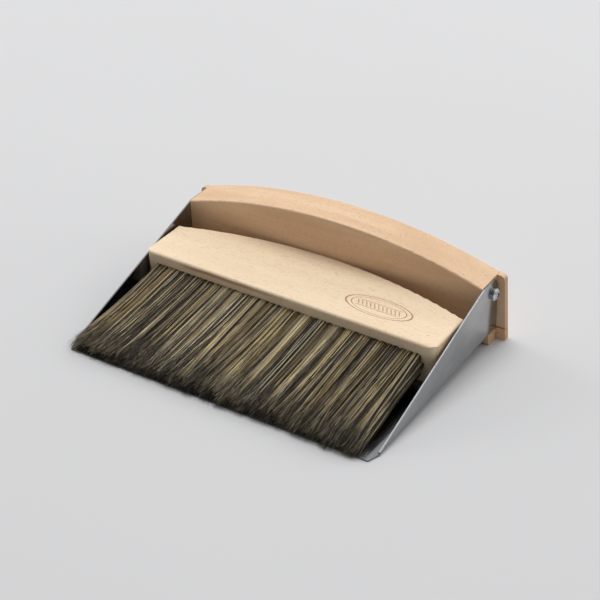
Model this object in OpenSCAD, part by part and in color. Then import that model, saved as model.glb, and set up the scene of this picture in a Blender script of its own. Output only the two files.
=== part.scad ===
// Dust pan and brush set: a folded steel pan with a wooden handle block across its
// back, and a wooden hand brush that lies in the pan with its bristles on the lip.
// Millimetres. X runs across the pan, Y from the lip back to the handle, Z up.
// The origin is on the ground, under the middle of the whole set. The pan stands on
// its front lip and on the handle's foot, so its floor rises towards the back.
// Each piece is drawn on a level pan floor, and stand() tips the set onto the ground.

/* [Pan] */
// Width across the outside of the side walls
pan_w = 230; // [190:1:280]
// Depth of the side walls, from their front ends to the back edge of the sheet
pan_d = 150; // [130:1:190]
// Height of the side walls beside the handle
wall_h = 40.4; // [34:0.2:52]
// Height of the side walls at their front ends
wall_toe = 1.8; // [1.2:0.1:6]
// Length of the level part at the top of the side walls
wall_top_d = 18.4; // [14:0.2:24]
// Thickness of the sheet
sheet_t = 1; // [0.8:0.1:1.5]
// Outside radius of the folds along the floor
fold_r = 1.6; // [1.6:0.1:4]
// Radius of each side wall's upper back corner
wall_corner_r = 7; // [3:0.5:12]
// How far the floor runs on in front of the side walls
lip_d = 9; // [5:0.5:20]
// How far each side of the lip draws in towards its front edge
lip_taper = 3; // [0:0.5:6]
// Angle that the floor rises at, in degrees
tilt = 3; // [2:0.25:6]

/* [Handle] */
// Thickness of the handle block from front to back
handle_d = 25; // [20:0.5:40]
// Rise of the arched top above its ends
handle_rise = 18; // [8:0.5:24]
// Height of the arch's ends above the side walls
handle_proud = 0.2; // [0:0.1:2]
// Rounding along the edges of the arch
handle_round = 1; // [0.5:0.1:4]
// Thickness of the shoulders behind the side walls
shoulder_t = 4.2; // [3.4:0.2:10]
// How far each shoulder stands out past the side wall at its top
shoulder_w = 4.4; // [3:0.2:8]
// How much wider each shoulder gets towards the ground
shoulder_flare = 2.2; // [0:0.2:4]
// Gap between the back edges of the side walls and the shoulders
shoulder_gap = 0.8; // [0.2:0.1:2]
// Rounding of the shoulders' upper corners
shoulder_r = 3.5; // [2:0.5:10]
// Depth of the foot under the floor, from front to back
foot_d = 16; // [12:0.5:30]
// Rounding of the foot's lower front edge
foot_round = 2.5; // [0.5:0.1:4]
// How far the saw cut for the floor goes in behind the sheet
kerf_extra = 2; // [1:0.1:2.4]

/* [Handle screws] */
// Radius of the screw heads
screw_head_r = 4.4; // [2.5:0.1:5]
// Height of the screw heads
screw_head_h = 3.6; // [1.5:0.1:4]
// Radius of the screw shanks
screw_r = 1.9; // [1.5:0.1:2.5]
// Length of the screws under the head
screw_len = 20; // [12:1:30]
// Distance from the sheet's back edge to the screws
screw_inset = 5.6; // [5:0.1:12]
// Distance from the side wall's top edge down to the screws
screw_drop = 10.4; // [6:0.1:14]

/* [Brush] */
// Gap between each end of the brush block and the side wall beside it
brush_gap = 1.6; // [1.5:0.1:20]
// Depth of the brush block at its two ends
brush_end_d = 37.5; // [28:0.5:50]
// Rise of the brush block's arched back
brush_rise = 18.2; // [8:0.2:24]
// Thickness of the brush block
brush_t = 29; // [22:0.5:34]
// Rounding along the brush block's edges
brush_round = 1.8; // [1:0.1:6]
// Rounding of the brush block's front corners, seen from above
brush_corner_r = 5.5; // [1:0.1:8]
// Angle that the brush lies askew in the pan, in degrees
brush_skew = 1; // [0:0.1:1]
// How far the brush lies to the left of the pan's middle
brush_shift = 0.8; // [0:0.1:0.8]

/* [Bristles] */
// How far the bristle bundle starts inside each end of the block
bundle_inset = 6.4; // [5.4:0.2:30]
// How much wider the bundle gets at each side towards its tips
splay = 3.5; // [0:0.1:3.7]
// How far the tips reach in front of the lip
tip_over = 3; // [0:0.5:8]
// Height of the bundle at its tips
tip_h = 9; // [6:0.5:14]
// Distance between the rows of tufts
row_pitch = 5; // [4.6:0.1:6.5]
// Distance between the tufts of a row
tuft_pitch = 4.9; // [4.6:0.1:10]
// Radius of the drilled holes
hole_r = 2.1; // [1.5:0.05:2.2]
// Depth of the drilled holes
hole_depth = 14; // [10:0.5:18]

/* [Magnets] */
// Radius of the magnets in the brush block's underside
magnet_r = 7.5; // [4:0.5:10]
// Thickness of the magnets
magnet_t = 3; // [2:0.5:5]
// Distance between the two magnets
magnet_gap = 120; // [60:1:150]

/* [Hidden] */

$fn = 48;
big = 600;         // longer than the whole set
cut = 1;           // how far a cutting solid runs past what it cuts
fit = 0.1;         // gap between the sheet and the wood around it
glue_gap = 0.05;   // gap around a glued or wedged piece
lie_gap = 0.3;     // gap under the brush as it lies on the floor
back_gap = 0.3;    // gap between the brush's arched back and the handle
row_gap = 0.1;     // gap between two rows of bristles
edge_fibres = 0.5; // how far the bundle bulges out beside its last tufts
hole_spare = 0.5;  // depth left empty behind each tuft
anchor_in = 1.4;   // how far a tuft's fold reaches behind its anchor
fold_in_r = fold_r - sheet_t;

// Places on the level floor; y = 0 is at the front ends of the side walls.
inner_w = pan_w - 2 * sheet_t;
brush_w = inner_w - 2 * brush_gap;
bundle_w = brush_w - 2 * bundle_inset;
handle_back_y = pan_d + shoulder_gap + shoulder_t;
handle_y = handle_back_y - handle_d;
foot_y = handle_back_y - foot_d;
arch_end_h = wall_h + handle_proud;
screw_y = pan_d - screw_inset;
screw_z = wall_h - screw_drop;

// An arch of this chord and rise belongs to a circle of this radius.
function arch_r(chord, rise) = (pow(chord / 2, 2) + pow(rise, 2)) / (2 * rise);
handle_r = arch_r(pan_w, handle_rise);
brush_r = arch_r(brush_w, brush_rise);
brush_d = brush_end_d + brush_rise;

// The brush block's front face, so that its arched back stops back_gap short of the handle.
brush_y = handle_y - back_gap - brush_r + (brush_r - brush_d) * cos(brush_skew);
brush_z = sheet_t + lie_gap;
bristle_len = brush_y + lip_d + tip_over;

// Tufts: three rows, the middle one with a tuft more than the others.
rows = [-1, 0, 1];
row_h = row_pitch - row_gap;
tip_pitch = tip_h / len(rows);
tip_row_h = tip_pitch - row_gap;
outer_half = bundle_w / 2 - row_pitch / 2;
middle_count = floor((bundle_w - 2 * (hole_r + edge_fibres)) / tuft_pitch) + 1;
root_len = hole_depth - hole_spare;
anchor_h = 1.8;
anchor_t = 0.3;
anchor_y = root_len - anchor_in - anchor_h / 2;

// Ground: the lip's lower front edge and the foot's underside lie on it.
function ground_z(y) = -(y + lip_d) * tan(tilt);
function stood_y(y, z) = (y + lip_d) * cos(tilt) - z * sin(tilt);
tip_y = brush_y - bristle_len * cos(brush_skew) - (outer_half + splay) * sin(brush_skew);
set_front_y = stood_y(tip_y, brush_z + tip_h - row_gap);
set_back_y = stood_y(handle_back_y, ground_z(handle_back_y));

function row_z(row) = brush_t / 2 + row * row_pitch;
function row_count(row) = middle_count - (row == 0 ? 0 : 1);
function tuft_x(row, i) = (i - (row_count(row) - 1) / 2) * tuft_pitch;

// Tips a piece from the level floor onto the ground, with the origin under the middle.
module stand() {
    translate([0, -(set_front_y + set_back_y) / 2, 0])
        rotate([tilt, 0, 0])
            translate([0, lip_d, 0])
                children();
}

// Puts a piece of the brush where it lies; y = 0 is the block's front face.
module lying() {
    stand()
        translate([-brush_shift, brush_y, brush_z])
            rotate([0, 0, -brush_skew])
                children();
}

// Extrudes a side outline, drawn as [y, z], across the width w.
module across(w) {
    rotate([90, 0, 90])
        linear_extrude(w, center = true)
            children();
}

// A rectangle from corner to corner with its corners rounded by r.
module round_rect(from, to, r) {
    for (x = [from[0] + r, to[0] - r])
        for (y = [from[1] + r, to[1] - r])
            translate([x, y])
                circle(r);
    translate([from[0] + r, from[1]])
        square([to[0] - from[0] - 2 * r, to[1] - from[1]]);
    translate([from[0], from[1] + r])
        square([to[0] - from[0], to[1] - from[1] - 2 * r]);
}

// ---- Pan ----

// Outline of the sheet seen from the front: floor, folds and two walls.
module sheet_section() {
    difference() {
        round_rect([-pan_w / 2, 0], [pan_w / 2, wall_h + big], fold_r);
        round_rect([-inner_w / 2, sheet_t], [inner_w / 2, wall_h + big + cut], fold_in_r);
    }
}

// Outline of a side wall seen from the side, with its upper back corner rounded.
module wall_outline() {
    polygon([
        [0, 0], [0, wall_toe], [pan_d - wall_top_d, wall_h],
        [pan_d - wall_corner_r, wall_h], [pan_d, wall_h - wall_corner_r], [pan_d, 0]
    ]);
    translate([pan_d - wall_corner_r, wall_h - wall_corner_r])
        circle(wall_corner_r);
}

module lip_plate() {
    front_x = pan_w / 2 - lip_taper;
    linear_extrude(sheet_t)
        polygon([
            [-pan_w / 2, 0], [-front_x, -lip_d], [front_x, -lip_d],
            [pan_w / 2, 0], [pan_w / 2 - fold_r, cut], [fold_r - pan_w / 2, cut]
        ]);
}

module screw_hole(side, r) {
    translate([side * pan_w / 2, screw_y, screw_z])
        rotate([0, -side * 90, 0])
            translate([0, 0, -cut])
                cylinder(h = screw_len + 2 * cut, r = r);
}

module pan_tray() {
    color("silver")
        stand()
            difference() {
                union() {
                    intersection() {
                        translate([0, pan_d, 0])
                            rotate([90, 0, 0])
                                linear_extrude(pan_d)
                                    sheet_section();
                        across(pan_w + 2 * cut)
                            wall_outline();
                    }
                    lip_plate();
                }
                screw_hole(1, screw_r + fit);
                screw_hole(-1, screw_r + fit);
            }
}

// ---- Handle ----

// A disc whose upper arc is the arch, with both rims rounded.
module arch_disc() {
    translate([0, handle_back_y, arch_end_h + handle_rise - handle_r])
        rotate([90, 0, 0])
            rotate_extrude($fn = 360)
                intersection() {
                    round_rect([-handle_r, 0], [handle_r, handle_d], handle_round);
                    square([handle_r, handle_d]);
                }
}

// Outline of the shoulders seen from the front, wider towards the ground.
module shoulder_outline() {
    half = pan_w / 2 + shoulder_w;
    low_half = half + shoulder_flare;
    low_z = ground_z(handle_back_y) - cut;
    polygon([
        [-low_half, low_z], [-half, arch_end_h - shoulder_r],
        [shoulder_r - half, arch_end_h], [half - shoulder_r, arch_end_h],
        [half, arch_end_h - shoulder_r], [low_half, low_z]
    ]);
    for (side = [-1, 1])
        translate([side * (half - shoulder_r), arch_end_h - shoulder_r])
            circle(shoulder_r);
}

// The slab behind the side walls, down to the ground.
module shoulders() {
    translate([0, handle_back_y, 0])
        rotate([90, 0, 0])
            linear_extrude(shoulder_t)
                shoulder_outline();
}

// The block between the side walls, its lower corners cut away for the folds.
module between_walls() {
    half = inner_w / 2 - fit;
    intersection() {
        arch_disc();
        translate([0, handle_back_y, 0])
            rotate([90, 0, 0])
                linear_extrude(handle_d)
                    polygon([
                        [fold_in_r - half, sheet_t + fit], [half - fold_in_r, sheet_t + fit],
                        [half, sheet_t + fit + fold_in_r], [half, big],
                        [-half, big], [-half, sheet_t + fit + fold_in_r]
                    ]);
    }
}

// The foot under the floor, flush with the side walls.
module foot() {
    low_z = ground_z(foot_y);
    across(pan_w) {
        difference() {
            translate([foot_y, -big])
                square([foot_d, big - fit]);
            translate([foot_y - cut, -big])
                square([foot_round + cut, big + low_z + foot_round]);
        }
        translate([foot_y + foot_round, low_z + foot_round])
            circle(foot_round);
    }
}

module ground_cut() {
    translate([0, -lip_d, 0])
        rotate([-tilt, 0, 0])
            translate([-big / 2, -big / 2, -big])
                cube([big, big, big]);
}

module pan_handle() {
    color([0.87, 0.71, 0.53])
        stand()
            difference() {
                union() {
                    between_walls();
                    shoulders();
                    foot();
                }
                // saw cut that takes the floor
                translate([-big / 2, 0, -fit])
                    cube([big, pan_d + kerf_extra, sheet_t + 2 * fit]);
                ground_cut();
                screw_hole(1, screw_r + glue_gap);
                screw_hole(-1, screw_r + glue_gap);
            }
}

// ---- Handle screws ----

// A pan-head wood screw; z = 0 is under the head, the point is at -screw_len.
module screw() {
    point_h = 4;
    point_r = 0.3;
    slot_w = 0.9;
    slot_l = 4.2;
    slot_depth = 1.5;
    crown_r = arch_r(2 * screw_head_r, screw_head_h / 2);
    difference() {
        union() {
            intersection() {
                cylinder(h = screw_head_h, r = screw_head_r);
                translate([0, 0, screw_head_h - crown_r])
                    sphere(crown_r, $fn = 96);
            }
            translate([0, 0, point_h - screw_len])
                cylinder(h = screw_len - point_h, r = screw_r);
            translate([0, 0, -screw_len])
                cylinder(h = point_h, r1 = point_r, r2 = screw_r);
        }
        for (turn = [0, 90])
            rotate([0, 0, turn])
                translate([-slot_l / 2, -slot_w / 2, screw_head_h - slot_depth])
                    cube([slot_l, slot_w, slot_depth + cut]);
    }
}

module handle_screw(side) {
    cross_turn = 20;
    color([0.75, 0.76, 0.78])
        stand()
            translate([side * (pan_w / 2 + glue_gap), screw_y, screw_z])
                rotate([0, side * 90, 0])
                    rotate([0, 0, cross_turn])
                        screw();
}

module handle_screw_right() {
    handle_screw(1);
}

module handle_screw_left() {
    handle_screw(-1);
}

// ---- Brush block ----

// A disc whose back arc is the block's arched back, with both rims rounded.
module brush_disc() {
    translate([0, brush_d - brush_r, 0])
        rotate_extrude($fn = 360)
            intersection() {
                round_rect([-brush_r, 0], [brush_r, brush_t], brush_round);
                square([brush_r, brush_t]);
            }
}

// Half-moon block: the disc, cut by a rounded front face and rounded ends.
module half_moon() {
    difference() {
        intersection() {
            brush_disc();
            across(brush_w)
                round_rect([0, 0], [big, brush_t], brush_round);
            linear_extrude(brush_t)
                round_rect([-brush_w / 2, 0], [brush_w / 2, big], brush_corner_r);
        }
        for (side = [-1, 1])
            for (top = [0, 1])
                translate([side * brush_w / 2, brush_d + cut, top * brush_t])
                    rotate([90, 0, 0])
                        linear_extrude(brush_d + 2 * cut)
                            edge_waste(-side, 1 - 2 * top);
    }
}

// What rounding takes off one edge at the origin. The wood lies to the right (1) or left (-1)
// of the edge, and above (1) or below (-1) it.
module edge_waste(right, up) {
    difference() {
        scale([right, up])
            translate([-cut, -cut])
                square(brush_round + cut);
        translate([right * brush_round, up * brush_round])
            circle(brush_round);
    }
}

module tuft_holes(row) {
    for (i = [0 : row_count(row) - 1])
        translate([tuft_x(row, i), -cut, row_z(row)])
            rotate([-90, 0, 0])
                cylinder(h = hole_depth + cut, r = hole_r, $fn = 24);
}

module at_magnets() {
    for (side = [-1, 1])
        translate([side * magnet_gap / 2, brush_d / 2, 0])
            children();
}

module brush_block() {
    color([0.95, 0.85, 0.71])
        lying()
            difference() {
                half_moon();
                for (row = rows)
                    tuft_holes(row);
                at_magnets()
                    translate([0, 0, -cut])
                        cylinder(h = magnet_t + glue_gap + cut, r = magnet_r + glue_gap);
            }
}

module brush_magnets() {
    color([0.72, 0.72, 0.74])
        lying()
            at_magnets()
                cylinder(h = magnet_t, r = magnet_r);
}

// ---- Bristles ----

// Side outline of one row, from its root on the block down to its tips on the pan.
module row_outline(row) {
    root_z = row_z(row) - row_h / 2;
    tip_z = (row + 1) * tip_pitch;
    polygon([
        [0, root_z], [0, root_z + row_h],
        [-bristle_len, tip_z + tip_row_h], [-bristle_len, tip_z]
    ]);
}

// Plan of one row; the outer rows are narrower, which rounds the bundle's corners.
module row_plan(row) {
    half = row == 0 ? bundle_w / 2 : outer_half;
    polygon([
        [-half, 0], [half, 0],
        [half + splay, -bristle_len], [-half - splay, -bristle_len]
    ]);
}

// Part of a tuft inside its hole, with the slit for its anchor.
module tuft_root() {
    root_r = hole_r - glue_gap;
    difference() {
        rotate([-90, 0, 0])
            cylinder(h = root_len, r = root_r, $fn = 24);
        translate([-hole_r, anchor_y - anchor_h / 2 - glue_gap, -anchor_t / 2 - glue_gap])
            cube([2 * hole_r, anchor_h + 2 * glue_gap, anchor_t + 2 * glue_gap]);
    }
}

module tuft_row(row, shade) {
    color(shade)
        lying() {
            intersection() {
                across(pan_w)
                    row_outline(row);
                linear_extrude(brush_t)
                    row_plan(row);
            }
            for (i = [0 : row_count(row) - 1])
                translate([tuft_x(row, i), 0, row_z(row)])
                    tuft_root();
        }
}

module tuft_row_upper() {
    tuft_row(1, [0.55, 0.48, 0.34]);
}

module tuft_row_middle() {
    tuft_row(0, [0.40, 0.35, 0.27]);
}

module tuft_row_lower() {
    tuft_row(-1, [0.24, 0.21, 0.17]);
}

// Flat wires that wedge the folded tufts in their holes.
module tuft_anchors() {
    anchor_w = 2 * (hole_r - glue_gap);
    color([0.6, 0.6, 0.62])
        lying()
            for (row = rows)
                for (i = [0 : row_count(row) - 1])
                    translate([tuft_x(row, i), anchor_y, row_z(row)])
                        cube([anchor_w, anchor_h, anchor_t], center = true);
}

// ---- Nodes ----

pan_tray();
pan_handle();
handle_screw_right();
handle_screw_left();
brush_block();
brush_magnets();
tuft_row_upper();
tuft_row_middle();
tuft_row_lower();
tuft_anchors();
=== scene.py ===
"""Dust pan and brush set: materials, bristles, floor, light and camera.

Metres, in the row's frame: X across the pan, Y from the lip back to the handle, Z up.
The bristles are laid out on the brush as it would lie on a level floor, with y = 0 at the
block's front face, and then stood in the pan as the CAD stands it.
"""

import math

import bpy
import numpy as np
from mathutils import Matrix, Vector


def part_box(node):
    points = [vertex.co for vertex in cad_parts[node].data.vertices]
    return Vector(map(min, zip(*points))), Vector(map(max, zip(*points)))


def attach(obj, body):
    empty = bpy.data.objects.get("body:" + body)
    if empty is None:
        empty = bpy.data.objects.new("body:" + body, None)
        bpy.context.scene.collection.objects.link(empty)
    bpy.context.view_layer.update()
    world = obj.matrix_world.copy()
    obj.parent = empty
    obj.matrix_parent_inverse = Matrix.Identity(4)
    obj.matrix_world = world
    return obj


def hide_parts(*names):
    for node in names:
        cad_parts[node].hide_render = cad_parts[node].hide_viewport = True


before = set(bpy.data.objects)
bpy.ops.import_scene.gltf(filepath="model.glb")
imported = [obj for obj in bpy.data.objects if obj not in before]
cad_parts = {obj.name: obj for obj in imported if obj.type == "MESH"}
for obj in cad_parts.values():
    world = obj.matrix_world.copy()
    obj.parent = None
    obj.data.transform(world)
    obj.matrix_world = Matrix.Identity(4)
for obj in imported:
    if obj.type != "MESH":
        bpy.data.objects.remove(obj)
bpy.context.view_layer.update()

SEED = 20260
MM = 0.001

# ---- Sizes that the CAD model is driven by ----

TILT = math.radians(3.0)
LIP_D = 9 * MM
TIP_OVER = 3 * MM
PAN_W = 230 * MM
HANDLE_D = 25 * MM
HANDLE_BACK_Y = 155 * MM
BACK_GAP = 0.3 * MM
SHEET_T = 1 * MM
LIE_GAP = 0.3 * MM

BRUSH_GAP = 1.6 * MM
BRUSH_END_D = 37.5 * MM
BRUSH_RISE = 18.2 * MM
BRUSH_T = 29 * MM
BRUSH_SKEW = math.radians(1.0)
BRUSH_SHIFT = 0.8 * MM

BUNDLE_INSET = 6.4 * MM
SPLAY = 3.5 * MM
TIP_H = 9 * MM
ROWS = 3
ROW_PITCH = 5 * MM
TUFT_PITCH = 4.9 * MM
HOLE_R = 2.1 * MM
EDGE_FIBRES = 0.5 * MM

HANDLE_Y = HANDLE_BACK_Y - HANDLE_D
INNER_W = PAN_W - 2 * SHEET_T
BRUSH_W = INNER_W - 2 * BRUSH_GAP
BUNDLE_W = BRUSH_W - 2 * BUNDLE_INSET
BRUSH_D = BRUSH_END_D + BRUSH_RISE
BRUSH_R = ((BRUSH_W / 2) ** 2 + BRUSH_RISE**2) / (2 * BRUSH_RISE)
BRUSH_Y = HANDLE_Y - BACK_GAP - BRUSH_R + (BRUSH_R - BRUSH_D) * math.cos(BRUSH_SKEW)
BRUSH_Z = SHEET_T + LIE_GAP
BRISTLE_LEN = BRUSH_Y + LIP_D + TIP_OVER
MIDDLE_COUNT = int((BUNDLE_W - 2 * (HOLE_R + EDGE_FIBRES)) / TUFT_PITCH) + 1


# The handle's back edge on the ground is the set's last point, and its place is known.
MIDDLE_Y = (HANDLE_BACK_Y + LIP_D) / math.cos(TILT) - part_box("pan_handle")[1].y
STAND = (
    Matrix.Translation((0, -MIDDLE_Y, 0))
    @ Matrix.Rotation(TILT, 4, "X")
    @ Matrix.Translation((0, LIP_D, 0))
)
LYING = (
    STAND
    @ Matrix.Translation((-BRUSH_SHIFT, BRUSH_Y, BRUSH_Z))
    @ Matrix.Rotation(-BRUSH_SKEW, 4, "Z")
)

# ---- Material helpers ----


def set_range(node, low, high, to_low, to_high):
    node.inputs["From Min"].default_value = low
    node.inputs["From Max"].default_value = high
    node.inputs["To Min"].default_value = to_low
    node.inputs["To Max"].default_value = to_high


class Nodes:
    """A material's node tree, with one short call for each kind of node."""

    def __init__(self, name):
        self.material = bpy.data.materials.new(name)
        self.material.use_nodes = True
        self.tree = self.material.node_tree
        self.shader = self.tree.nodes["Principled BSDF"]

    def add(self, kind, **settings):
        node = self.tree.nodes.new(kind)
        for key, value in settings.items():
            setattr(node, key, value)
        return node

    def put(self, socket, value):
        if isinstance(value, bpy.types.NodeSocket):
            self.tree.links.new(value, socket)
        else:
            socket.default_value = value

    def own_coordinates(self, turn=None, scale=(1, 1, 1)):
        """Object coordinates, turned into the piece's own directions and scaled."""
        vector = self.add("ShaderNodeTexCoord").outputs["Object"]
        if turn is not None:
            mapping = self.add("ShaderNodeMapping", vector_type="TEXTURE")
            self.put(mapping.inputs["Vector"], vector)
            mapping.inputs["Location"].default_value = turn.to_translation()
            mapping.inputs["Rotation"].default_value = turn.to_euler()
            vector = mapping.outputs["Vector"]
        mapping = self.add("ShaderNodeMapping")
        self.put(mapping.inputs["Vector"], vector)
        mapping.inputs["Scale"].default_value = scale
        return mapping.outputs["Vector"]

    def noise(self, vector, scale, detail=3.0, rough=0.5, distort=0.0):
        node = self.add("ShaderNodeTexNoise")
        self.put(node.inputs["Vector"], vector)
        node.inputs["Scale"].default_value = scale
        node.inputs["Detail"].default_value = detail
        node.inputs["Roughness"].default_value = rough
        node.inputs["Distortion"].default_value = distort
        return node.outputs["Fac"]

    def spread(self, value, low, high, to_low=0.0, to_high=1.0):
        node = self.add("ShaderNodeMapRange", interpolation_type="SMOOTHSTEP")
        set_range(node, low, high, to_low, to_high)
        self.put(node.inputs["Value"], value)
        return node.outputs["Result"]

    def maths(self, operation, a, b=0.0):
        node = self.add("ShaderNodeMath", operation=operation)
        self.put(node.inputs[0], a)
        self.put(node.inputs[1], b)
        return node.outputs[0]

    def mix(self, factor, a, b, blend="MIX"):
        node = self.add("ShaderNodeMix", data_type="RGBA", blend_type=blend)
        self.put(node.inputs["Factor"], factor)
        self.put(node.inputs["A"], a)
        self.put(node.inputs["B"], b)
        return node.outputs["Result"]

    def split(self, vector):
        """The vector's X, Y and Z sockets."""
        node = self.add("ShaderNodeSeparateXYZ")
        self.put(node.inputs[0], vector)
        return node.outputs

    def facing(self, axis):
        """How squarely the face looks along an axis, either way: 0 to 1."""
        normal = self.add("ShaderNodeNewGeometry").outputs["True Normal"]
        return self.maths("ABSOLUTE", self.split(normal)[axis])

    def bump(self, height, strength, distance):
        node = self.add("ShaderNodeBump")
        node.inputs["Strength"].default_value = strength
        node.inputs["Distance"].default_value = distance
        self.put(node.inputs["Height"], height)
        self.put(self.shader.inputs["Normal"], node.outputs["Normal"])

    def surface(self, **sockets):
        names = {
            "color": "Base Color",
            "rough": "Roughness",
            "metal": "Metallic",
            "shine": "Specular IOR Level",
        }
        for key, value in sockets.items():
            self.put(self.shader.inputs[names[key]], value)
        return self.material


def rgb(red, green, blue):
    """A colour as seen on a screen, 0 to 255, as the shader wants it."""
    return tuple(((c / 255 + 0.055) / 1.055) ** 2.4 for c in (red, green, blue)) + (1.0,)


# ---- Materials ----


def beech(name, turn, pale, deep, fleck, end_tone, badge=False):
    """Planed beech: long soft bands, fine pores, short ray flecks and darker end grain."""
    n = Nodes(name)
    bands = n.noise(n.own_coordinates(turn, (3, 26, 26)), 3.0, detail=2.0)
    streaks = n.noise(n.own_coordinates(turn, (14, 420, 420)), 1.0, detail=3.0, rough=0.6)
    pores = n.noise(n.own_coordinates(turn, (260, 2600, 2600)), 1.0, detail=1.0)
    rays = n.noise(n.own_coordinates(turn, (340, 1500, 1500)), 1.0, detail=2.0, rough=0.4)
    mottle = n.noise(n.own_coordinates(turn), 60.0, detail=3.0)

    color = n.mix(n.spread(bands, 0.35, 0.68), pale, deep)
    color = n.mix(n.spread(streaks, 0.45, 0.72, 0.0, 0.6), color, deep)
    color = n.mix(n.spread(mottle, 0.4, 0.75, 0.0, 0.25), color, deep)
    color = n.mix(n.spread(pores, 0.60, 0.72, 0.0, 0.35), color, fleck)
    color = n.mix(n.spread(rays, 0.63, 0.72, 0.0, 0.55), color, fleck)

    # end grain: the faces that look along the block's length
    ends = n.spread(n.facing("X"), 0.75, 0.98)
    dots = n.noise(n.own_coordinates(turn, (500, 2200, 2200)), 1.0, detail=2.0)
    end_color = n.mix(n.spread(dots, 0.4, 0.7, 0.0, 0.6), end_tone, fleck)
    color = n.mix(ends, color, end_color)

    if badge:
        color = n.mix(n.maths("MULTIPLY", front_streak(n, turn), 0.75), color, rgb(196, 142, 90))
        color = n.mix(burned_badge(n, turn), color, rgb(158, 110, 62))

    rough = n.spread(streaks, 0.3, 0.7, 0.48, 0.62)
    grain = n.maths("ADD", n.maths("MULTIPLY", pores, 0.5), streaks)
    n.bump(grain, 0.12, 0.2 * MM)
    return n.surface(color=color, rough=rough, shine=0.3)


def burned_badge(n, turn):
    """A plain burned badge: two ovals, and slanting strokes between two lines inside them."""
    centre = Vector((60 * MM, 21 * MM))
    radius = Vector((24 * MM, 9.5 * MM))
    inner_oval = radius.y - 1.6 * MM
    clear_oval = radius.y - 2.7 * MM
    line = 0.28 * MM
    soft = 0.1 * MM
    rule_y = 3.1 * MM
    stroke_y = 2.3 * MM
    stroke_pitch = 1.5 * MM
    stroke_slant = 0.6
    place = n.split(n.own_coordinates(turn))
    right = n.maths("SUBTRACT", place["X"], centre.x)
    back = n.maths("SUBTRACT", place["Y"], centre.y)
    flat_right = n.maths("MULTIPLY", right, radius.y / radius.x)
    reach = n.maths("SQRT", n.maths("ADD", n.maths("POWER", flat_right, 2.0), n.maths("POWER", back, 2.0)))

    def stroke(value, middle_line, width):
        off = n.maths("ABSOLUTE", n.maths("SUBTRACT", value, middle_line))
        return n.spread(off, width * 0.5, width * 1.3, 1.0, 0.0)

    def within(value, limit):
        return n.spread(value, limit - soft, limit + soft, 1.0, 0.0)

    outer = stroke(reach, radius.y, line)
    inner = stroke(reach, inner_oval, line * 0.6)
    from_axis = n.maths("ABSOLUTE", back)
    rules = stroke(from_axis, rule_y, line * 0.8)
    slanted = n.maths("ADD", right, n.maths("MULTIPLY", back, stroke_slant))
    hatch = stroke(n.maths("PINGPONG", slanted, stroke_pitch), 0.0, 0.4 * MM)
    hatch = n.maths("MULTIPLY", hatch, within(from_axis, stroke_y))
    inside = within(reach, clear_oval)
    middle = n.maths("MULTIPLY", n.maths("MAXIMUM", rules, hatch), inside)
    mark = n.maths("MAXIMUM", n.maths("MAXIMUM", outer, inner), middle)
    top = n.maths("GREATER_THAN", place["Z"], BRUSH_T - 0.5 * MM)
    burn = n.noise(n.own_coordinates(turn), 900.0, detail=2.0)
    return n.maths("MULTIPLY", n.maths("MULTIPLY", mark, top), n.spread(burn, 0.25, 0.6, 0.45, 0.95))


def front_streak(n, turn):
    """A darker growth line along the upper left of the block's front face."""
    place = n.split(n.own_coordinates(turn))
    wander = n.noise(n.own_coordinates(turn, (20, 0, 0)), 1.0, detail=2.0)
    middle = n.maths("ADD", BRUSH_T - 4.5 * MM, n.maths("MULTIPLY", wander, 4 * MM))
    off = n.maths("ABSOLUTE", n.maths("SUBTRACT", place["Z"], middle))
    band = n.spread(off, 0.3 * MM, 2.0 * MM, 1.0, 0.0)
    fades_in = n.spread(place["X"], -88 * MM, -70 * MM)
    fades_out = n.spread(place["X"], -40 * MM, 10 * MM, 1.0, 0.0)
    left = n.maths("MULTIPLY", fades_in, fades_out)
    front = n.spread(place["Y"], 1.5 * MM, 3 * MM, 1.0, 0.0)
    return n.maths("MULTIPLY", n.maths("MULTIPLY", band, left), front)


def sheet_steel():
    """Satin rolled steel: fine lines along the pan, soft clouding and a few scuffs."""
    n = Nodes("sheet_steel")
    lines = n.noise(n.own_coordinates(STAND, (3000, 30, 3000)), 1.0, detail=2.0)
    clouds = n.noise(n.own_coordinates(STAND, (1, 1, 1)), 28.0, detail=4.0)
    scuffs = n.noise(n.own_coordinates(STAND, (260, 1400, 900)), 1.0, detail=2.0)
    color = n.mix(n.spread(clouds, 0.3, 0.7), rgb(150, 151, 152), rgb(170, 171, 172))
    color = n.mix(n.spread(lines, 0.35, 0.7, 0.0, 0.35), color, rgb(132, 133, 135))
    color = n.mix(n.spread(scuffs, 0.68, 0.76, 0.0, 0.4), color, rgb(190, 191, 192))
    rough = n.maths("ADD", n.spread(lines, 0.3, 0.7, 0.11, 0.18), n.spread(clouds, 0.3, 0.7, 0.0, 0.06))

    # the sheared edges look forward along the pan, and are duller and rougher than the faces
    sheared = n.spread(n.facing("Y"), 0.1, 0.2)
    burr = n.noise(n.own_coordinates(STAND, (900, 900, 900)), 1.0, detail=2.0)
    color = n.mix(sheared, color, n.mix(burr, rgb(92, 93, 95), rgb(150, 151, 152)))
    rough = n.maths("MAXIMUM", rough, n.maths("MULTIPLY", sheared, 0.42))
    n.bump(lines, 0.08, 0.05 * MM)
    return n.surface(color=color, rough=rough, metal=1.0)


def bright_steel(name, tone):
    """Plated hardware: bright, with faint turning marks and dulled patches."""
    n = Nodes(name)
    marks = n.noise(n.own_coordinates(None, (900, 900, 900)), 1.0, detail=3.0)
    dull = n.noise(n.own_coordinates(None, (1, 1, 1)), 420.0, detail=2.0)
    color = n.mix(n.spread(dull, 0.4, 0.7), tone, rgb(150, 152, 156))
    n.bump(marks, 0.06, 0.05 * MM)
    return n.surface(color=color, rough=n.spread(dull, 0.3, 0.7, 0.14, 0.3), metal=1.0)


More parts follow.
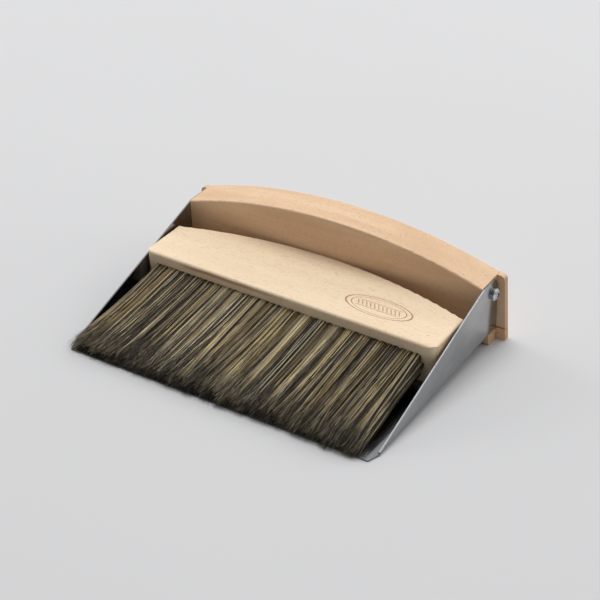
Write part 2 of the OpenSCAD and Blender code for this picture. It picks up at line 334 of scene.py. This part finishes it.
def tone_ramp(n, factor, tones):
    ramp = n.add("ShaderNodeValToRGB")
    stops = ramp.color_ramp.elements
    stops[0].position, stops[0].color = tones[0]
    stops[1].position, stops[1].color = tones[-1]
    for position, tone in tones[1:-1]:
        stops.new(position).color = tone
    n.put(ramp.inputs["Fac"], factor)
    return ramp.outputs["Color"]


def bristle_hair():
    """Natural fibres: each its own shade and hue, mottled along it, dark at the tips, with painted shade on
    the fibres that lie under the bundle's surface.
    """
    n = Nodes("bristle_hair")
    shade, hue, along, depth = (
        n.add("ShaderNodeAttribute", attribute_name=name).outputs["Fac"]
        for name in ("shade", "hue", "along", "depth")
    )
    grey = tone_ramp(n, shade, (
        (0.00, rgb(26, 23, 20)),
        (0.30, rgb(56, 47, 38)),
        (0.50, rgb(106, 94, 78)),
        (0.75, rgb(178, 163, 138)),
        (1.00, rgb(240, 228, 200)),
    ))
    straw = tone_ramp(n, shade, (
        (0.00, rgb(30, 24, 18)),
        (0.30, rgb(70, 53, 34)),
        (0.50, rgb(132, 108, 70)),
        (0.75, rgb(200, 177, 122)),
        (1.00, rgb(246, 228, 176)),
    ))
    color = n.mix(hue, grey, straw)
    cloud = n.noise(n.own_coordinates(LYING, (220, 70, 220)), 1.0, detail=2.0)
    color = n.mix(n.spread(cloud, 0.4, 0.72, 0.0, 0.3), color, rgb(52, 44, 35))
    reach = n.maths("ADD", along, n.maths("MULTIPLY", n.maths("SUBTRACT", cloud, 0.5), 0.35))
    dulled = n.maths("MULTIPLY", n.spread(reach, 0.66, 0.96), n.spread(shade, 0.6, 0.95, 0.88, 0.35))
    color = n.mix(dulled, color, rgb(42, 36, 30))
    # painted shade: fibres under the bundle's surface are darkened as if shaded by the fibres above them,
    # less so towards the tips
    color = n.mix(n.maths("MULTIPLY", depth, n.spread(reach, 0.6, 0.95, 0.78, 0.55)), color, rgb(24, 21, 19))
    return n.surface(color=color, rough=0.48, shine=0.4)


def floor_paper():
    """Seamless pale paper with the slightest cloudiness."""
    n = Nodes("floor_paper")
    cloud = n.noise(n.own_coordinates(), 3.0, detail=2.0)
    color = n.mix(cloud, rgb(208, 208, 209), rgb(211, 211, 212))
    return n.surface(color=color, rough=0.85, shine=0.1)


# ---- Bristles ----

# A row's number is how many pitches it lies above the block's middle.
UPPER, MIDDLE, LOWER = 1, 0, -1

# A tuft's fibres fall into strands, so many across it and so many above each other.
PER_TUFT = 94
STRANDS_ACROSS = 5
STRANDS_UP = 3

# A fibre is a tube with a ring of points at each of these shares of its length.
STEPS = np.array([0.0, 0.035, 0.08, 0.2, 0.4, 0.6, 0.78, 0.9, 1.0])
RINGS = len(STEPS)
SIDES = 3
THIN_R = 0.11 * MM
THICK_R = 0.16 * MM
PALE_EXTRA_R = 0.04 * MM
TIP_R_SHARE = 0.35
TAPER_FROM = 0.8

# How deep the roots start in their holes, how much of a hole and of a row's pitch they fill
ROOT_Y = 1.5 * MM
ROOT_FILL = 0.92
ACROSS_FILL = 0.54
UP_FILL = 0.53
MIDDLE_MARGIN = 0.6 * MM

# Sideways at the tips: the whole bundle's lean, the locks' width, what strays, and how late
# along a fibre the lean comes
LEAN_X = -2.8 * MM
LOCK = 3.4 * MM
TUFT_LEAN = 0.9 * MM
STRAND_LEAN = 1.3 * MM
FIBRE_LEAN = 0.7 * MM
STRAY_LEAN = 4.0 * MM
STRAY_SHARE = 0.05
WALL_MARGIN = 2.2 * MM
LEAN_CURVE = 1.9

# How fully fibres gather into locks, and into looser locks so many times as wide
LEAST_GATHER = 0.1
MOST_GATHER = 0.75
WIDER = 3
WIDE_GATHER = 0.12

# Heights: how unevenly the tips lie, and how the top row lifts or sags
LOWEST = 0.15 * MM
LOWEST_TIP = 0.2 * MM
STRAND_SCATTER = 0.5 * MM
FIBRE_SCATTER = 0.4 * MM
STRAY_LIFT = 1.8 * MM
EDGE_SAG = 2.4 * MM
EDGE_THINNER = 0.4

# Slow waves, and the hooked and drooping ends, from these shares of the length
LEAST_WAVE = 0.05 * MM
MOST_WAVE = 0.45 * MM
STRAY_WAVE = 0.6 * MM
LEAST_TURNS = 0.5
MOST_TURNS = 1.5
PHASE_SCATTER = 0.3
HOOK_FROM = 0.78
HOOK_X = 1.4 * MM
HOOK_Z = 0.8 * MM
DROOP_FROM = 0.9
DROOP = 1.2 * MM

# Lengths: how uneven the tips are, and how many fibres end early
LONGEST = BRISTLE_LEN + 1.6 * MM
FIBRE_UNEVEN = 1.5 * MM
STRAND_UNEVEN = 1.2 * MM
LUMP_W = 2.4 * MM
LUMP_D = 3.4 * MM
SHORT_SHARE = 0.4
SHORT_BY = 16 * MM
ROW_SHORTER = 3.5 * MM

# The bundle's ends thin out over this width
EDGE_W = 7 * MM

# Shades, 0 dark to 1 pale: a tuft's share of pale strands, the fibres that don't match their
# strand, where the dark range ends, how it leans to black, and where the pale range starts
PALE_SHARE = 0.44
PALE_SHARE_VARIES = 0.13
ODD_SHARE = 0.2
DARK_TO = 0.42
DARK_LEAN = 1.4
PALE_FROM = 0.52
TUFT_SHADE_VARIES = 0.03
FIBRE_SHADE_VARIES = 0.22

# Hues, 0 grey to 1 straw
TUFT_HUE = 0.6
TUFT_HUE_VARIES = 0.22
STRAND_HUE_VARIES = 0.2
FIBRE_HUE_VARIES = 0.1


def towards_locks(rng, x, spacing):
    """For each x, how far it is to the nearest of a row of unevenly spaced places."""
    count = int(BUNDLE_W / spacing) + 4
    places = (np.arange(count) - (count - 1) / 2) * spacing
    places = np.sort(places + rng.uniform(-0.45, 0.45, count) * spacing)
    after = np.clip(np.searchsorted(places, x), 1, count - 1)
    before, beyond = places[after - 1], places[after]
    return np.where(x - before < beyond - x, before - x, beyond - x)


def raggedness(x):
    """How far the bundle's front outline falls back at each x, the same for every row."""
    rng = np.random.default_rng(SEED)
    count = int(BUNDLE_W / LUMP_W)
    places = np.linspace(-BUNDLE_W / 2, BUNDLE_W / 2, count)
    return np.interp(x, places, rng.uniform(0, LUMP_D, count))


def fibre_paths(rng, row):
    """One row's fibres: centre lines as fibre, ring and x, y, z; their strands; how high they lie."""
    tufts = MIDDLE_COUNT - (0 if row == MIDDLE else 1)
    tuft = np.repeat(np.arange(tufts), PER_TUFT)
    count = len(tuft)
    centre_x = (tuft - (tufts - 1) / 2) * TUFT_PITCH
    centre_z = BRUSH_T / 2 + row * ROW_PITCH
    across = rng.uniform(-1, 1, count)
    upward = rng.uniform(-1, 1, count)
    root_x = centre_x + across * np.sqrt(1 - upward**2 / 2) * HOLE_R * ROOT_FILL
    root_z = centre_z + upward * np.sqrt(1 - across**2 / 2) * HOLE_R * ROOT_FILL

    # out of the hole the tufts run together, and the end ones fan out to the bundle's sides
    half = BUNDLE_W / 2 - (MIDDLE_MARGIN if row == MIDDLE else ROW_PITCH / 2)
    filled = tufts * TUFT_PITCH / 2
    spread_x = (centre_x + across * TUFT_PITCH * ACROSS_FILL) * half / filled
    spread_z = centre_z + upward * ROW_PITCH * UP_FILL
    share = (upward + 1) / 2
    strand = (tuft * STRANDS_ACROSS + ((across + 1) / 2 * STRANDS_ACROSS).astype(int)) * STRANDS_UP
    strand = strand + (share * STRANDS_UP).astype(int)
    strands = tufts * STRANDS_ACROSS * STRANDS_UP
    tip_z = (row - LOWER + share) * TIP_H / ROWS + rng.normal(0, STRAND_SCATTER, strands)[strand]
    tip_z = tip_z + rng.normal(0, FIBRE_SCATTER, count)
    edge = np.clip((np.abs(spread_x) - (half - EDGE_W)) / EDGE_W, 0, 1)
    tip_z = tip_z * (1 - EDGE_THINNER * edge)
    tip_z = np.clip(tip_z, LOWEST_TIP, TIP_H + FIBRE_SCATTER)

    # neighbours gather into locks towards the tips; a few fibres go their own way
    gather = towards_locks(rng, spread_x, LOCK) * rng.uniform(LEAST_GATHER, MOST_GATHER, count)
    gather = gather + towards_locks(rng, spread_x, LOCK * WIDER) * WIDE_GATHER
    stray = rng.uniform(0, 1, count) < STRAY_SHARE
    lean = rng.normal(0, TUFT_LEAN, tufts)[tuft] + rng.normal(0, STRAND_LEAN, strands)[strand]
    lean = lean + rng.normal(0, FIBRE_LEAN, count)
    lean = np.where(stray, rng.normal(0, STRAY_LEAN, count), lean)
    tip_x = spread_x * (1 + SPLAY / half) + LEAN_X + gather + lean
    tip_x = np.clip(tip_x, WALL_MARGIN - INNER_W / 2, half + SPLAY)

    # the upper rows end a little earlier, so the lower rows' dark tips show in front of them
    length = LONGEST - np.abs(rng.normal(0, FIBRE_UNEVEN, count)) - raggedness(tip_x)
    length = length - np.abs(rng.normal(0, STRAND_UNEVEN, strands))[strand]
    short = rng.uniform(0, 1, count) < SHORT_SHARE
    length = np.where(short, length - rng.uniform(0, SHORT_BY, count), length)
    length = length - (row - LOWER) * rng.uniform(0, ROW_SHORTER, strands)[strand]

    t = STEPS[None, :]
    out = np.clip(t / STEPS[1], 0, 1)
    x = root_x[:, None] + (spread_x - root_x)[:, None] * out + (tip_x - spread_x)[:, None] * t**LEAN_CURVE
    z = root_z[:, None] + (spread_z - root_z)[:, None] * out + (tip_z - spread_z)[:, None] * t
    z = z - (edge * EDGE_SAG)[:, None] * np.sin(math.pi * t) * (row == UPPER)
    y = ROOT_Y - (length + ROOT_Y)[:, None] * t

    # slow waves along each strand, and an end that hooks to some side
    wave = rng.uniform(LEAST_WAVE, MOST_WAVE, strands)[strand] + stray * STRAY_WAVE
    phase = rng.uniform(0, 2 * math.pi, strands)[strand] + rng.normal(0, PHASE_SCATTER, count)
    turns = rng.uniform(LEAST_TURNS, MOST_TURNS, strands)[strand]
    x = x + (wave[:, None] * t * (1.2 - t)) * 2 * np.sin(phase[:, None] + turns[:, None] * 2 * math.pi * t)
    bend = np.clip((t - HOOK_FROM) / (1 - HOOK_FROM), 0, 1) ** 2
    x = x + rng.normal(0, HOOK_X, count)[:, None] * bend
    z = z + rng.normal(0, HOOK_Z, count)[:, None] * bend
    lift = np.where(stray, rng.uniform(0, STRAY_LIFT, count), 0.0)
    z = z + lift[:, None] * t * (1 - t) * 4 * (row == UPPER)
    droop = rng.uniform(0, DROOP, count)
    z = z - droop[:, None] * np.clip((t - DROOP_FROM) / (1 - DROOP_FROM), 0, 1)
    z = np.maximum(z, LOWEST)
    return np.stack([x, y, z], axis=2), tuft, strand, share


def fibre_shades(rng, tuft, strand):
    """Each fibre's shade, 0 dark to 1 pale, and hue, 0 grey to 1 straw, from its tuft and strand."""
    tufts, strands, count = tuft.max() + 1, strand.max() + 1, len(tuft)
    part_pale = np.clip(rng.normal(PALE_SHARE, PALE_SHARE_VARIES, tufts), 0.1, 0.9)[tuft]
    pale = rng.uniform(0, 1, strands)[strand] < part_pale
    odd = rng.uniform(0, 1, count) < ODD_SHARE
    pale = np.where(odd, ~pale, pale)
    place = rng.uniform(0, 1, strands)[strand] + rng.normal(0, FIBRE_SHADE_VARIES, count)
    place = np.clip(place, 0, 1)
    shade = np.where(pale, PALE_FROM + (1 - PALE_FROM) * place, DARK_TO * place**DARK_LEAN)
    shade = np.clip(shade + rng.normal(0, TUFT_SHADE_VARIES, tufts)[tuft], 0, 1)
    hue = np.clip(rng.normal(TUFT_HUE, TUFT_HUE_VARIES, tufts), 0, 1)[tuft]
    hue = hue + rng.normal(0, STRAND_HUE_VARIES, strands)[strand]
    hue = np.clip(hue + rng.normal(0, FIBRE_HUE_VARIES, count), 0, 1)
    return shade, hue, pale


def bristle_row(name, node, row, material):
    """One row of tufts, each fibre a thin three-sided tube that narrows to its tip."""
    rng = np.random.default_rng(SEED + row)
    path, tuft, strand, share = fibre_paths(rng, row)
    shade, hue, pale = fibre_shades(rng, tuft, strand)
    count = len(path)
    radius = rng.uniform(THIN_R, THICK_R, count) + pale * PALE_EXTRA_R
    taper = np.clip((1 - STEPS) / (1 - TAPER_FROM), TIP_R_SHARE, 1)
    corner = np.arange(SIDES) * 2 * math.pi / SIDES
    ring = np.stack([np.cos(corner), np.zeros(SIDES), np.sin(corner)], axis=1)
    size = (radius[:, None] * taper[None, :])[:, :, None, None]
    points = path[:, :, None, :] + ring[None, None, :, :] * size
    points = points.reshape(-1, 3)
    turn = np.array(LYING)
    points = points @ turn[:3, :3].T + turn[:3, 3]

    first = np.arange(count)[:, None, None] * RINGS * SIDES
    step = np.arange(RINGS - 1)[None, :, None] * SIDES
    side = np.arange(SIDES)[None, None, :]
    after = (side + 1) % SIDES
    a = first + step + side
    b = first + step + after
    quads = np.stack([a, b, b + SIDES, a + SIDES], axis=3).reshape(-1, 4)

    mesh = bpy.data.meshes.new(name)
    mesh.vertices.add(len(points))
    mesh.vertices.foreach_set("co", points.ravel())
    mesh.loops.add(quads.size)
    mesh.loops.foreach_set("vertex_index", quads.ravel())
    mesh.polygons.add(len(quads))
    mesh.polygons.foreach_set("loop_start", np.arange(len(quads)) * 4)
    mesh.update(calc_edges=True)
    mesh.polygons.foreach_set("use_smooth", np.ones(len(quads), dtype=bool))

    # how far the fibre lies under the bundle's surface, 0 on top, 1 inside, for the painted shade in the
    # hair material
    depth = np.clip((UPPER - row) * 0.5 + (1 - share) * 0.5 - 0.25, 0, 1)
    for key, value in (
        ("shade", np.repeat(shade, RINGS * SIDES)),
        ("hue", np.repeat(hue, RINGS * SIDES)),
        ("along", np.tile(np.repeat(STEPS, SIDES), count)),
        ("depth", np.repeat(depth, RINGS * SIDES)),
    ):
        layer = mesh.attributes.new(key, "FLOAT", "POINT")
        layer.data.foreach_set("value", value.astype(np.float32))
    lay_flat(mesh, count)

    piece = bpy.data.objects.new(name, mesh)
    bpy.context.scene.collection.objects.link(piece)
    mesh.materials.append(material)
    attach(piece, "brush")
    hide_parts(node)
    return piece


def lay_flat(mesh, count):
    """A map that gives each fibre a cell of its own, with a strip in it for each side."""
    columns = math.ceil(math.sqrt(count))
    fibre = np.arange(count)[:, None, None, None]
    step = np.arange(RINGS - 1)[None, :, None, None]
    side = np.arange(SIDES)[None, None, :, None]
    right = np.array([0, 1, 1, 0])[None, None, None, :]
    up = np.array([0, 0, 1, 1])[None, None, None, :]
    inset = 0.1
    u = (fibre % columns + inset + (1 - 2 * inset) * (side + right) / SIDES) / columns
    v = (fibre // columns + inset + (1 - 2 * inset) * (step + up) / (RINGS - 1)) / columns
    u, v = np.broadcast_arrays(u, v)
    layer = mesh.uv_layers.new(name="OFBake")
    layer.data.foreach_set("uv", np.stack([u, v], axis=-1).astype(np.float32).ravel())


# ---- Pieces ----


def dress(node, material):
    """Gives a CAD node a material in each of its slots."""
    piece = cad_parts[node]
    for slot in piece.material_slots:
        slot.material = material
    return piece


handle_wood = beech(
    "handle_beech",
    STAND,
    pale=rgb(234, 201, 166),
    deep=rgb(223, 186, 149),
    fleck=rgb(172, 126, 86),
    end_tone=rgb(200, 160, 122),
)
brush_wood = beech(
    "brush_beech",
    LYING,
    pale=rgb(247, 225, 195),
    deep=rgb(242, 217, 184),
    fleck=rgb(200, 160, 118),
    end_tone=rgb(230, 202, 170),
    badge=True,
)
dress("pan_tray", sheet_steel())
dress("pan_handle", handle_wood)
dress("brush_block", brush_wood)
screw_steel = bright_steel("screw_steel", rgb(205, 207, 210))
dress("handle_screw_right", screw_steel)
dress("handle_screw_left", screw_steel)
dress("brush_magnets", bright_steel("magnet_plating", rgb(190, 188, 184)))
dress("tuft_anchors", bright_steel("anchor_wire", rgb(170, 170, 172)))

hair = bristle_hair()
bristle_row("bristles_upper", "tuft_row_upper", UPPER, hair)
bristle_row("bristles_middle", "tuft_row_middle", MIDDLE, hair)
bristle_row("bristles_lower", "tuft_row_lower", LOWER, hair)

# ---- Floor, light and camera ----


def add_floor():
    half = 4.0
    corners = [(-half, -half, 0), (half, -half, 0), (half, half, 0), (-half, half, 0)]
    mesh = bpy.data.meshes.new("floor")
    mesh.from_pydata(corners, [], [(0, 1, 2, 3)])
    floor = bpy.data.objects.new("floor", mesh)
    bpy.context.scene.collection.objects.link(floor)
    mesh.materials.append(floor_paper())


def add_area_light(name, place, aim, size, watts):
    data = bpy.data.lights.new(name, "AREA")
    data.shape = "DISK"
    data.size = size
    data.energy = watts
    light = bpy.data.objects.new(name, data)
    light.location = place
    light.rotation_euler = (Vector(aim) - Vector(place)).to_track_quat("-Z", "Y").to_euler()
    bpy.context.scene.collection.objects.link(light)


def add_camera():
    """Long lens from the right, in front and above, as the photograph was taken."""
    place = Vector((0.4666, -0.6163 - MIDDLE_Y, 0.5435))
    right = Vector((0.84062, 0.54159, -0.00694))
    forward = Vector((-0.46554, 0.71592, -0.52034))
    data = bpy.data.cameras.new("camera")
    data.sensor_width = 36.0
    data.lens = 91.65
    data.clip_start = 0.01
    camera = bpy.data.objects.new("camera", data)
    up = right.cross(forward)
    turn = Matrix((right, up, -forward)).transposed()
    camera.matrix_world = Matrix.Translation(place) @ turn.to_4x4()
    bpy.context.scene.collection.objects.link(camera)
    bpy.context.scene.camera = camera


def add_world():
    """A plain studio, a little darker in front than behind."""
    world = bpy.data.worlds.new("studio")
    world.use_nodes = True
    tree = world.node_tree
    back = tree.nodes["Background"]
    place = tree.nodes.new("ShaderNodeTexCoord")
    parts = tree.nodes.new("ShaderNodeSeparateXYZ")
    ramp = tree.nodes.new("ShaderNodeMapRange")
    tree.links.new(place.outputs["Generated"], parts.inputs[0])
    tree.links.new(parts.outputs["Y"], ramp.inputs["Value"])
    set_range(ramp, -1.0, 1.0, 0.12, 0.82)
    back.inputs["Color"].default_value = (0.99, 0.995, 1.0, 1.0)
    tree.links.new(ramp.outputs["Result"], back.inputs["Strength"])
    bpy.context.scene.world = world


add_floor()
add_world()
add_area_light("key", (-0.4, 0.55, 2.6), (0, 0, 0), 1.7, 35)
add_area_light("left", (-2.2, 0.5, 1.1), (0, 0, 0), 1.2, 10)
add_area_light("back", (0.5, 2.1, 1.1), (0, 0, 0), 1.2, 10)
add_area_light("fill", (1.9, 0.9, 1.2), (0, 0, 0), 1.4, 5.0)
add_camera()
bpy.context.scene.view_settings.view_transform = "Standard"
